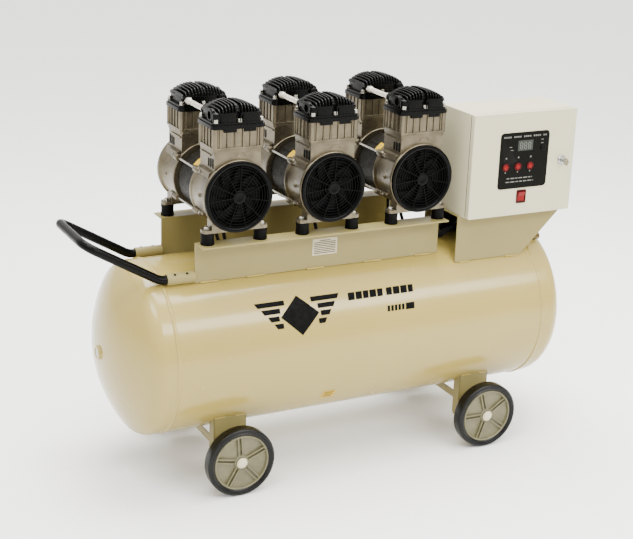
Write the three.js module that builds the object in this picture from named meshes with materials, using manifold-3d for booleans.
// Air compressor: three twin-head oil-free pumps on a horizontal 150 litre tank, with a push
// handle, four wheels and a control box. Millimetres, +Z up. X runs along the tank, with the
// control box at +X, and -Y is the operator's side. The origin is on the floor, under the middle
// of the whole machine, handle included.

import * as THREE from 'three';
import { mergeVertices } from 'three/addons/utils/BufferGeometryUtils.js';
import Module from 'manifold-3d';

const wasm = await Module();
wasm.setup();

// ---------------------------------------------------------------- driving dimensions

const GAP = 0.35; // clearance left between touching pieces

const tank = {
  radius: 210, wall: 4, axisHeight: 322,
  halfShell: 498, // from the middle to each weld seam
  skirt: 25, knuckle: 42, crown: 336, // dished head
  segments: 32,
};
const wheel = {
  radius: 86, width: 33, treadWidth: 22, boreRadius: 69.8, segments: 24,
  rimRadius: 68.8, rimSegments: 20, hubRadius: 17, hubBore: 8.7,
  outerFace: 226, // |y| of the tyre's outer face
  leftX: -345, rightX: 342,
};
const axle = { radius: 8.1, capRadius: 12, capLength: 6 };
const bracket = {
  width: 84, sheet: 3, outerFace: 150, legDepth: 28, bottom: 60, crossBottom: 104, crossTop: 124,
};
const rail = {
  left: -422, right: 230, top: 601, sheet: 4,
  webInner: 105, flangeOuter: 155,
};
const socket = { outer: 13.5, inner: 11, left: -490, axisY: 105, axisHeight: 519.8 };
const handle = { radius: 10.5, rise: Math.PI / 6, bendX: -505, crossbarX: -680, bend: 34 };
const pump = {
  pitch: 240.4, middleX: -92.2, axisHeight: 712.4,
  statorRadius: 72, statorHalf: 48,
  caseRadius: 80, caseOuter: 146, caseWall: 6, bearingWall: 8,
  rotorRadius: 39, shaftRadius: 8.4, fanRadius: 64, fanInner: 129, fanOuter: 141,
  grilleRadius: 83.7, grilleRim: 72, grilleHub: 20, grilleThickness: 7.6,
  grilleSpokes: 11, grilleBar: 3,
  cylinderBottom: 110, cylinderTop: 156.6, cylinderHalfWidth: 62.5,
  cylinderInner: 54, cylinderOuter: 145, boreRadius: 32, neckHalfWidth: 58,
  headInner: 50, headOuter: 147.5, headHalfWidth: 65.5, headFlange: 14, headTop: 213.6,
  domeHalfWidth: 58, domeInset: 4,
  footX: 66, footY: 125.4, footRadius: 16, footHeight: 30,
  pipeX: -44, pipeHeight: 183, pipeRadius: 6.2,
};
const box = {
  left: 270.5, right: 574, bottom: 603.4, top: 864.2, back: -29, sheet: 2.5,
  front: -177.2, doorThickness: 17.2,
};
const panel = { left: 350.5, right: 494, bottom: 673, top: 814, corner: 9, proud: 1.6, depth: 11 };
const button = { radius: 7, height: 728.4, columns: [369.2, 405.3, 441.6], proud: 3.2, travel: 1.5 };
const rocker = { x: 422.7, height: 651.7, width: 20, length: 26, tilt: 8 * Math.PI / 180 };
const lock = { x: 537.2, height: 734.2, radius: 9, proud: 5 };
const support = {
  left: 266, right: 575, front: 138.4, back: 17, sheet: 3, cornerHeight: 592, footRight: 464,
};
const valvePort = { drainX: 0, stemRadius: 6.6, holeRadius: 7.2 };
const outlet = { x: 455, y: -105, height: 514.5, radius: 9, end: 540, bore: 4.5, boreDepth: 30 };

const machineLeft = handle.crossbarX - handle.radius;
const headDepth = dishedHeadDepth();
const machineRight = tank.halfShell + headDepth;
const middleShift = -(machineLeft + machineRight) / 2;

// ---------------------------------------------------------------- materials

const material = (color, roughness, metalness) =>
  new THREE.MeshStandardMaterial({ color, roughness, metalness });
const creamPaint = material(0xd9cfae, 0.35, 0.0);
const whitePaint = material(0xe4e6e2, 0.4, 0.0);
const blackPlastic = material(0x141414, 0.45, 0.0);
const blackPaint = material(0x17181a, 0.35, 0.2);
const castAluminium = material(0xb3aca0, 0.45, 0.9);
const laminations = material(0x23241f, 0.5, 0.6);
const steel = material(0xb8b9ba, 0.3, 1.0);
const tyreRubber = material(0x1c1c1b, 0.7, 0.0);
const greyPlastic = material(0x8f8d7e, 0.5, 0.0);
const redPlastic = material(0xc41f1a, 0.35, 0.0);
const brass = material(0xb59a55, 0.35, 0.9);

// ---------------------------------------------------------------- solids

function solid(geometry) {
  const bare = geometry.clone();
  bare.deleteAttribute('normal');
  bare.deleteAttribute('uv');
  const merged = mergeVertices(bare, 1e-4);
  return new wasm.Manifold(new wasm.Mesh({
    numProp: 3,
    vertProperties: new Float32Array(merged.attributes.position.array),
    triVerts: new Uint32Array(merged.index.array),
  }));
}

function geometryOf(body) {
  const mesh = body.getMesh();
  const geometry = new THREE.BufferGeometry();
  geometry.setAttribute('position', new THREE.BufferAttribute(mesh.vertProperties, 3));
  geometry.setIndex(new THREE.BufferAttribute(mesh.triVerts, 1));
  geometry.computeVertexNormals();
  return geometry;
}

function join(first, ...others) {
  return geometryOf(others.reduce((whole, other) => whole.add(solid(other)), solid(first)));
}

function cut(first, ...tools) {
  return geometryOf(tools.reduce((rest, tool) => rest.subtract(solid(tool)), solid(first)));
}

// A block given by its low and high corners.
function block([x0, y0, z0], [x1, y1, z1]) {
  const geometry = new THREE.BoxGeometry(x1 - x0, y1 - y0, z1 - z0);
  return geometry.translate((x0 + x1) / 2, (y0 + y1) / 2, (z0 + z1) / 2);
}

// A profile of [radius, distance along the axis] pairs, turned about +Y. A profile that stays off
// the axis is closed into a ring.
function turned(profile, segments, phase = 0) {
  const onAxis = profile[0][0] === 0;
  const points = profile.map(([radius, along]) => new THREE.Vector2(radius, along));
  if (!onAxis) points.push(points[0].clone());
  return new THREE.LatheGeometry(points, segments, phase);
}

const alongX = (geometry) => geometry.rotateZ(-Math.PI / 2);
const alongZ = (geometry) => geometry.rotateX(Math.PI / 2);

function rod(radius, from, to, segments) {
  return turned([[0, from], [radius, from], [radius, to], [0, to]], segments);
}

// An outline of [x, z] pairs, extruded from y0 to y1.
function plateXZ(outline, y0, y1, holes = []) {
  const shape = new THREE.Shape(outline.map(([x, z]) => new THREE.Vector2(x, z)));
  shape.holes = holes.map((hole) => new THREE.Path(hole.map(([x, z]) => new THREE.Vector2(x, z))));
  const geometry = new THREE.ExtrudeGeometry(shape, { depth: y1 - y0, bevelEnabled: false });
  return geometry.rotateX(Math.PI / 2).translate(0, y1, 0);
}

// An outline of [y, z] pairs, extruded from x0 to x1.
function plateYZ(outline, x0, x1) {
  const shape = new THREE.Shape(outline.map(([y, z]) => new THREE.Vector2(y, z)));
  const geometry = new THREE.ExtrudeGeometry(shape, { depth: x1 - x0, bevelEnabled: false });
  return geometry.rotateX(Math.PI / 2).rotateZ(Math.PI / 2).translate(x0, 0, 0);
}

// ---------------------------------------------------------------- scene graph

const machine = new THREE.Group();
machine.position.set(middleShift, 0, 0);

function piece(name, geometry, look, parent = machine, place = [0, 0, 0]) {
  const mesh = new THREE.Mesh(geometry, look);
  mesh.name = name;
  mesh.position.set(...place);
  parent.add(mesh);
  return mesh;
}

// ---------------------------------------------------------------- tank

function dishedHeadDepth() {
  const crownAngle = Math.asin((tank.radius - tank.knuckle) / (tank.crown - tank.knuckle));
  return tank.skirt + tank.crown - (tank.crown - tank.knuckle) * Math.cos(crownAngle);
}

// Half of the tank's outline, from the end of the skirt to the pole, as [radius, x] pairs.
// inset moves it inwards by the wall's thickness, or outwards where it is negative.
function headOutline(inset, steps) {
  const crownAngle = Math.asin((tank.radius - tank.knuckle) / (tank.crown - tank.knuckle));
  const skirtEnd = tank.halfShell + tank.skirt;
  const knuckleTurn = Math.PI / 2 - crownAngle;
  const knuckleRadius = tank.knuckle - inset;
  const crownRadius = tank.crown - inset;
  const crownCentre = skirtEnd - (tank.crown - tank.knuckle) * Math.cos(crownAngle);
  const outline = [];
  for (let i = 0; i <= steps; i += 1) {
    const turn = knuckleTurn * i / steps;
    outline.push([
      tank.radius - tank.knuckle + knuckleRadius * Math.cos(turn),
      skirtEnd + knuckleRadius * Math.sin(turn),
    ]);
  }
  for (let i = 1; i <= steps; i += 1) {
    const turn = crownAngle * (1 - i / steps);
    outline.push([crownRadius * Math.sin(turn), crownCentre + crownRadius * Math.cos(turn)]);
  }
  return outline;
}

function tankForm(inset, steps) {
  const right = headOutline(inset, steps);
  const left = right.map(([radius, x]) => [radius, -x]).reverse();
  return alongX(turned([...left, ...right], tank.segments)).translate(0, 0, tank.axisHeight);
}

function tankShell() {
  const drainHole = alongZ(rod(valvePort.holeRadius, -tank.wall * 3, tank.wall * 3, 12))
    .translate(valvePort.drainX, 0, tank.axisHeight - tank.radius);
  const outletHole = alongZ(rod(valvePort.holeRadius, -30, 30, 12))
    .translate(outlet.x, outlet.y, surfaceHeight(outlet.y));
  return cut(tankForm(0, 4), tankForm(tank.wall, 3), drainHole, outletHole);
}

// Height of the tank's upper surface at a distance y from its middle plane.
function surfaceHeight(y, radius = tank.radius) {
  return tank.axisHeight + Math.sqrt(radius ** 2 - y ** 2);
}

piece('tank', tankShell(), creamPaint);

function drainValve() {
  const seat = tank.axisHeight - tank.radius - GAP;
  const collar = 11;
  const spout = 6;
  const profile = [
    [0, seat - 19], [spout, seat - 19], [spout, seat - 9], [collar, seat - 9],
    [collar, seat], [valvePort.stemRadius, seat], [valvePort.stemRadius, seat + 3.5], [0, seat + 3.5],
  ];
  return alongZ(turned(profile, 12));
}
piece('drain_valve', drainValve(), brass, machine, [valvePort.drainX, 0, 0]);

// Ball valve lying along the tank's shoulder: a nipple down into the tank, a bored body, a lever.
function outletValve() {
  const { x, y, height, radius, end, bore, boreDepth } = outlet;
  const nipple = alongZ(rod(valvePort.stemRadius, surfaceHeight(y) - 5, height, 12))
    .translate(x, y, 0);
  const body = alongX(rod(radius, x - 14, end, 16)).translate(0, y, height);
  const stem = block([x + 20, y - 3, height], [x + 26, y + 3, height + radius + 3]);
  const lever = block([x + 14, y - 6, height + radius + 2], [x + 74, y + 6, height + radius + 5]);
  const passage = alongX(rod(bore, end - boreDepth, end + 1, 12)).translate(0, y, height);
  return cut(join(nipple, body, stem, lever), passage);
}
piece('air_outlet', outletValve(), brass);

// ---------------------------------------------------------------- rails and handle

// An angle with its web on the tank and its flange turned outwards.
function railForm(side) {
  const webFoot = surfaceHeight(rail.webInner) + GAP;
  const webOuter = rail.webInner + rail.sheet;
  const outline = [
    [rail.webInner, webFoot], [webOuter, webFoot], [webOuter, rail.top - rail.sheet],
    [rail.flangeOuter, rail.top - rail.sheet], [rail.flangeOuter, rail.top], [rail.webInner, rail.top],
  ].map(([y, z]) => [side * y, z]);
  return plateYZ(outline, rail.left, rail.right);
}

// A short sleeve that the handle's leg is pushed into. It is welded to the tank at the rail's end.
function socketForm() {
  const { inner, outer, left } = socket;
  const end = rail.left - GAP;
  return alongX(turned([[inner, left], [outer, left], [outer, end], [inner, end]], 16));
}

for (const [sideName, side] of [['front', -1], ['rear', 1]]) {
  const seat = [0, side * socket.axisY, socket.axisHeight];
  piece(`rail_${sideName}`, railForm(side), creamPaint);
  piece(`handle_socket_${sideName}`, socketForm(), creamPaint, machine, seat);
}

// The bent tube's centre line, with each corner rounded by a short curve.
function handlePath() {
  const climb = (handle.bendX - handle.crossbarX) * Math.tan(handle.rise);
  const low = socket.axisHeight;
  const high = low + climb;
  const y = socket.axisY;
  const corners = [
    [rail.left - 3, -y, low], [handle.bendX, -y, low], [handle.crossbarX, -y, high],
    [handle.crossbarX, y, high], [handle.bendX, y, low], [rail.left - 3, y, low],
  ].map((point) => new THREE.Vector3(...point));
  const path = new THREE.CurvePath();
  let start = corners[0];
  for (let i = 1; i < corners.length - 1; i += 1) {
    const reach = i === 1 || i === 4 ? handle.bend * 0.5 : handle.bend;
    const before = corners[i].clone().lerp(corners[i - 1], reach / corners[i].distanceTo(corners[i - 1]));
    const after = corners[i].clone().lerp(corners[i + 1], reach / corners[i].distanceTo(corners[i + 1]));
    path.add(new THREE.LineCurve3(start, before));
    path.add(new THREE.QuadraticBezierCurve3(before, corners[i], after));
    start = after;
  }
  path.add(new THREE.LineCurve3(start, corners.at(-1)));
  return path;
}

function handleTube() {
  const section = new THREE.Shape();
  const sides = 10;
  for (let i = 0; i < sides; i += 1) {
    const turn = 2 * Math.PI * i / sides;
    const point = [handle.radius * Math.cos(turn), handle.radius * Math.sin(turn)];
    if (i === 0) section.moveTo(...point);
    else section.lineTo(...point);
  }
  const options = { steps: 42, bevelEnabled: false, extrudePath: handlePath() };
  return new THREE.ExtrudeGeometry(section, options);
}
piece('handle', handleTube(), blackPaint);

// ---------------------------------------------------------------- wheels and brackets

const axleHeight = wheel.radius * Math.cos(Math.PI / wheel.segments); // stands on a flat facet
const wheelMiddle = -(wheel.outerFace - wheel.width / 2);

function tyreForm() {
  const half = wheel.width / 2;
  const bead = half - 2.5;
  const tread = wheel.treadWidth / 2;
  const shoulder = wheel.radius - 6;
  const profile = [
    [wheel.boreRadius, -bead], [shoulder, -half], [wheel.radius, -tread],
    [wheel.radius, tread], [shoulder, half], [wheel.boreRadius, bead],
  ];
  return turned(profile, wheel.segments, Math.PI / wheel.segments);
}

// A flat disc with a deep lip and a hub that is longer on its inner side.
function rimForm() {
  const lip = 14;
  const lipInner = wheel.rimRadius - 6.8;
  const disc = 4;
  const hubInner = 20;
  const { rimRadius, hubRadius, hubBore } = wheel;
  const profile = [
    [rimRadius, -lip], [rimRadius, lip], [lipInner, lip], [lipInner, disc],
    [hubRadius, disc], [hubRadius, hubInner], [hubBore, hubInner], [hubBore, -lip],
    [hubRadius, -lip], [hubRadius, -disc], [lipInner, -disc], [lipInner, -lip],
  ];
  return turned(profile, wheel.rimSegments);
}

// A yoke for one pair of wheels: two flat ties across under the tank, with a channel-shaped leg at
// each end, saddled to the belly, and a stub axle and cap on each leg.
function bracketForm() {
  const { width, sheet, outerFace, legDepth, bottom, crossBottom, crossTop } = bracket;
  const half = width / 2;
  const legInner = outerFace - legDepth;
  const legTop = 190;
  const hubEnd = -wheelMiddle + 14 + GAP;
  const cheek = [
    [outerFace, bottom], [legInner, bottom], [legInner, crossBottom], [-legInner, crossBottom],
    [-legInner, bottom], [-outerFace, bottom], [-outerFace, legTop], [-legInner, legTop - 30],
    [-legInner, crossTop], [legInner, crossTop], [legInner, legTop - 30], [outerFace, legTop],
  ];
  const parts = [
    plateYZ(cheek, -half, sheet - half),
    plateYZ(cheek, half - sheet, half),
  ];
  for (const side of [-1, 1]) {
    const across = (from, to) => [Math.min(side * from, side * to), Math.max(side * from, side * to)];
    const [webLow, webHigh] = across(outerFace - sheet, outerFace);
    const [stubLow, stubHigh] = across(outerFace - 1, hubEnd + 1);
    const [capLow, capHigh] = across(hubEnd, hubEnd + axle.capLength);
    parts.push(
      block([-half, webLow, bottom], [half, webHigh, legTop]),
      rod(axle.radius, stubLow, stubHigh, 16).translate(0, 0, axleHeight),
      rod(axle.capRadius, capLow, capHigh, 16).translate(0, 0, axleHeight),
    );
  }
  const belly = alongX(rod(tank.radius + GAP + 0.2, -width, width, tank.segments))
    .translate(0, 0, tank.axisHeight);
  return cut(join(...parts), belly);
}

for (const [endName, x] of [['left', wheel.leftX], ['right', wheel.rightX]]) {
  piece(`wheel_bracket_${endName}`, bracketForm(), creamPaint, machine, [x, 0, 0]);
  for (const [sideName, turn] of [['front', 0], ['rear', Math.PI]]) {
    const corner = new THREE.Group();
    corner.position.set(x, 0, 0);
    corner.rotation.z = turn;
    machine.add(corner);
    const place = [0, wheelMiddle, axleHeight];
    piece(`tyre_${sideName}_${endName}`, tyreForm(), tyreRubber, corner, place);
    piece(`rim_${sideName}_${endName}`, rimForm(), greyPlastic, corner, place);
  }
}

// ---------------------------------------------------------------- pumps
// Each pump is built about its shaft, which lies along Y. A front half is built towards -Y, and
// the rear half is the same half turned round.

function statorForm() {
  const bore = pump.rotorRadius + 1.5;
  const half = pump.statorHalf;
  return turned([[bore, -half], [pump.statorRadius, -half], [pump.statorRadius, half], [bore, half]], 24);
}

// Shaft, rotor core and the two cooling fans.
function rotorForm() {
  const { rotorRadius, shaftRadius, fanRadius, fanInner, fanOuter } = pump;
  const core = pump.statorHalf - 4;
  const profile = [
    [0, -fanOuter], [fanRadius, -fanOuter], [fanRadius, -fanInner], [shaftRadius, -fanInner],
    [shaftRadius, -core], [rotorRadius, -core], [rotorRadius, core], [shaftRadius, core],
    [shaftRadius, fanInner], [fanRadius, fanInner], [fanRadius, fanOuter], [0, fanOuter],
  ];
  return turned(profile, 16);
}

const cylinderMiddle = -(pump.cylinderInner + pump.cylinderOuter) / 2;

// Round housing open to the grille, with a bearing wall, a neck up to the cylinder, and a square
// skirt on a base plate whose ends stand on rubber feet.
function crankcaseForm() {
  const { caseRadius, caseOuter, caseWall, statorHalf, bearingWall, shaftRadius } = pump;
  const inner = -(statorHalf + GAP);
  const cavityInner = inner - bearingWall;
  const railTop = rail.top + GAP - pump.axisHeight;
  const footTop = railTop + pump.footHeight;
  const can = rod(caseRadius, -caseOuter, inner, 20);
  const neck = block(
    [-pump.neckHalfWidth, -caseOuter + 3, 40], [pump.neckHalfWidth, -56, pump.cylinderBottom - GAP],
  );
  const skirt = block([-60, -137, footTop], [60, -111, -50]);
  const base = block(
    [-pump.footX - 14, -pump.footY - 16, footTop - 2], [pump.footX + 14, -pump.footY + 16, footTop + 7],
  );
  const feet = [-1, 1].map((side) => alongZ(rod(pump.footRadius, railTop, footTop, 12))
    .translate(side * pump.footX, -pump.footY, 0));
  const cavity = rod(caseRadius - caseWall, -caseOuter - 1, cavityInner, 20);
  const shaftBore = rod(shaftRadius + 0.6, cavityInner - 1, inner + 1, 16);
  const pistonBore = alongZ(rod(pump.boreRadius, 30, pump.cylinderBottom + 1, 16))
    .translate(0, cylinderMiddle, 0);
  return cut(join(can, neck, skirt, base, ...feet), cavity, shaftBore, pistonBore);
}

function cylinderForm() {
  const half = pump.cylinderHalfWidth;
  const jacket = block(
    [-half, -pump.cylinderOuter, pump.cylinderBottom], [half, -pump.cylinderInner, pump.cylinderTop],
  );
  const bore = alongZ(rod(pump.boreRadius, pump.cylinderBottom - 1, pump.cylinderTop + 1, 16))
    .translate(0, cylinderMiddle, 0);
  return cut(jacket, bore);
}

// A flat flange with a crowned cover on it.
function headForm() {
  const flangeBottom = pump.cylinderTop + GAP;
  const flangeTop = flangeBottom + pump.headFlange;
  const half = pump.headHalfWidth;
  const flange = block([-half, -pump.headOuter, flangeBottom], [half, -pump.headInner, flangeTop]);
  const crown = pump.headTop;
  const dome = pump.domeHalfWidth;
  const rightSide = [
    [dome, flangeTop - 1], [dome, crown - 26], [dome - 12, crown - 11], [dome - 33, crown - 3],
  ];
  const leftSide = rightSide.map(([x, z]) => [-x, z]).reverse();
  const outline = [...rightSide, [0, crown], ...leftSide];
  const cover = plateXZ(outline, pump.domeInset - pump.headOuter, -pump.headInner - pump.domeInset);
  return join(flange, cover);
}

// A ring and hub joined by flat radial bars.
function grilleForm() {
  const { grilleRadius, grilleRim, grilleHub, grilleSpokes, grilleBar } = pump;
  const circle = (radius, from, to, steps) => Array.from({ length: steps + 1 }, (_, i) => {
    const turn = from + (to - from) * i / steps;
    return [radius * Math.cos(turn), radius * Math.sin(turn)];
  });
  const sector = 2 * Math.PI / grilleSpokes;
  const openings = Array.from({ length: grilleSpokes }, (_, i) => {
    const outerMargin = grilleBar / 2 / grilleRim;
    const innerMargin = grilleBar / 2 / grilleHub;
    const outer = circle(grilleRim, i * sector + outerMargin, (i + 1) * sector - outerMargin, 2);
    const inner = circle(grilleHub, (i + 1) * sector - innerMargin, i * sector + innerMargin, 1);
    return [...outer, ...inner];
  });
  const edge = circle(grilleRadius, 0, 2 * Math.PI, 22).slice(0, -1);
  const back = -pump.caseOuter - GAP;
  return plateXZ(edge, back - pump.grilleThickness, back, openings);
}

function pipeForm() {
  const end = pump.headInner + pump.domeInset - GAP;
  return rod(pump.pipeRadius, -end, end, 12).translate(pump.pipeX, 0, pump.pipeHeight);
}

for (const number of [1, 2, 3]) {
  const unit = new THREE.Group();
  unit.position.set(pump.middleX + (number - 2) * pump.pitch, 0, pump.axisHeight);
  machine.add(unit);
  piece(`motor_stator_${number}`, statorForm(), laminations, unit);
  piece(`motor_rotor_${number}`, rotorForm(), steel, unit);
  piece(`crossover_pipe_${number}`, pipeForm(), steel, unit);
  for (const [sideName, turn] of [['front', 0], ['rear', Math.PI]]) {
    const half = new THREE.Group();
    half.rotation.z = turn;
    unit.add(half);
    piece(`crankcase_${sideName}_${number}`, crankcaseForm(), castAluminium, half);
    piece(`cylinder_${sideName}_${number}`, cylinderForm(), castAluminium, half);
    piece(`cylinder_head_${sideName}_${number}`, headForm(), blackPaint, half);
    piece(`fan_grille_${sideName}_${number}`, grilleForm(), blackPlastic, half);
  }
}

// ---------------------------------------------------------------- control box

// A sheet folded into a table: front panel, top and back panel, with the lower right corner of
// the front and back panels sheared off at a slant.
function supportForm() {
  const { left, right, front, back, sheet, cornerHeight, footRight } = support;
  const top = box.bottom - GAP;
  const frontFoot = surfaceHeight(front - sheet) + GAP;
  const backFoot = surfaceHeight(back - sheet) + GAP;
  const fold = [
    [-front, frontFoot], [sheet - front, frontFoot], [sheet - front, top - sheet],
    [back - sheet, top - sheet], [back - sheet, backFoot], [back, backFoot], [back, top], [-front, top],
  ];
  const slope = (cornerHeight - frontFoot) / (right - footRight);
  const shear = [
    [footRight - 20, frontFoot - 20 * slope], [right + 20, frontFoot - 20 * slope],
    [right + 20, cornerHeight + 20 * slope],
  ];
  return cut(plateYZ(fold, left, right), plateXZ(shear, -front - 10, back + 10));
}
piece('box_support', supportForm(), creamPaint);

const doorBack = box.front + box.doorThickness;

function enclosureForm() {
  const { left, right, bottom, top, back, sheet } = box;
  return cut(
    block([left, doorBack + GAP, bottom], [right, back, top]),
    block([left + sheet, box.front - 1, bottom + sheet], [right - sheet, back - sheet, top - sheet]),
  );
}
piece('control_box', enclosureForm(), whitePaint);

function roundedOutline(x0, x1, z0, z1, radius) {
  const steps = 3;
  const centres = [
    [x1 - radius, z1 - radius], [x0 + radius, z1 - radius],
    [x0 + radius, z0 + radius], [x1 - radius, z0 + radius],
  ];
  return centres.flatMap(([x, z], corner) => Array.from({ length: steps + 1 }, (_, i) => {
    const turn = (corner + i / steps) * Math.PI / 2;
    return [x + radius * Math.cos(turn), z + radius * Math.sin(turn)];
  }));
}

const rockerWindow = { halfWidth: rocker.width / 2 + 0.5, halfHeight: rocker.length / 2 + 1.9 };
const bezel = { halfWidth: 14, halfHeight: 17, proud: 2 };

// A shallow pan with windows for the control panel, the power rocker and the lock.
function doorForm() {
  const { left, right, bottom, top, sheet, front } = box;
  const pan = block([left, front, bottom], [right, doorBack, top]);
  const frame = block(
    [rocker.x - bezel.halfWidth, front - bezel.proud, rocker.height - bezel.halfHeight],
    [rocker.x + bezel.halfWidth, front + 1, rocker.height + bezel.halfHeight],
  );
  const hollow = block(
    [left + sheet, front + sheet, bottom + sheet], [right - sheet, doorBack + 1, top - sheet],
  );
  const panelWindow = plateXZ(
    roundedOutline(panel.left - GAP, panel.right + GAP, panel.bottom - GAP, panel.top + GAP, panel.corner),
    front - 1, front + sheet + 1,
  );
  const switchWindow = block(
    [rocker.x - rockerWindow.halfWidth, front - 5, rocker.height - rockerWindow.halfHeight],
    [rocker.x + rockerWindow.halfWidth, front + 5, rocker.height + rockerWindow.halfHeight],
  );
  const lockHole = rod(lock.radius + 0.5, front - 1, front + sheet + 1, 18)
    .translate(lock.x, 0, lock.height);
  return cut(join(pan, frame), hollow, panelWindow, switchWindow, lockHole);
}
piece('control_box_door', doorForm(), whitePaint);

const panelFace = box.front - panel.proud;

function panelForm() {
  const plate = plateXZ(
    roundedOutline(panel.left, panel.right, panel.bottom, panel.top, panel.corner),
    panelFace, panelFace + panel.depth,
  );
  const wells = button.columns.map((x) => rod(button.radius + 0.4, panelFace - 1, panelFace + 8, 16)
    .translate(x, 0, button.height));
  return cut(plate, ...wells);
}
piece('control_panel', panelForm(), blackPlastic);

button.columns.forEach((x, index) => {
  const stem = rod(button.radius, panelFace - button.proud, panelFace + 8 - button.travel - GAP, 16);
  piece(`motor_button_${index + 1}`, stem, redPlastic, machine, [x, 0, button.height]);
});

// A shallow V that tips about its middle. It rests with its lower end pressed in.
function rockerForm() {
  const end = rocker.length / 2 - 1;
  const outline = [[-9.5, -end], [-7.2, 0], [-9.5, end], [0, end - 1], [4, 0], [0, 1 - end]];
  return plateYZ(outline, -rocker.width / 2, rocker.width / 2).rotateX(rocker.tilt);
}
const rockerPivot = box.front + 6;
piece('power_rocker', rockerForm(), redPlastic, machine, [rocker.x, rockerPivot, rocker.height]);

// A quarter-turn cam lock: barrel, key, and the cam behind the door's skin.
function lockForm() {
  const face = box.front - lock.proud;
  const behind = box.front + 13;
  return join(
    rod(lock.radius, face, behind, 18),
    block([-2, face - 11, -8], [2, face + 1, 8]),
    block([0, behind - 4, -6], [28, behind, 6]),
  );
}
piece('door_lock', lockForm(), steel, machine, [lock.x, 0, lock.height]);

export default machine;
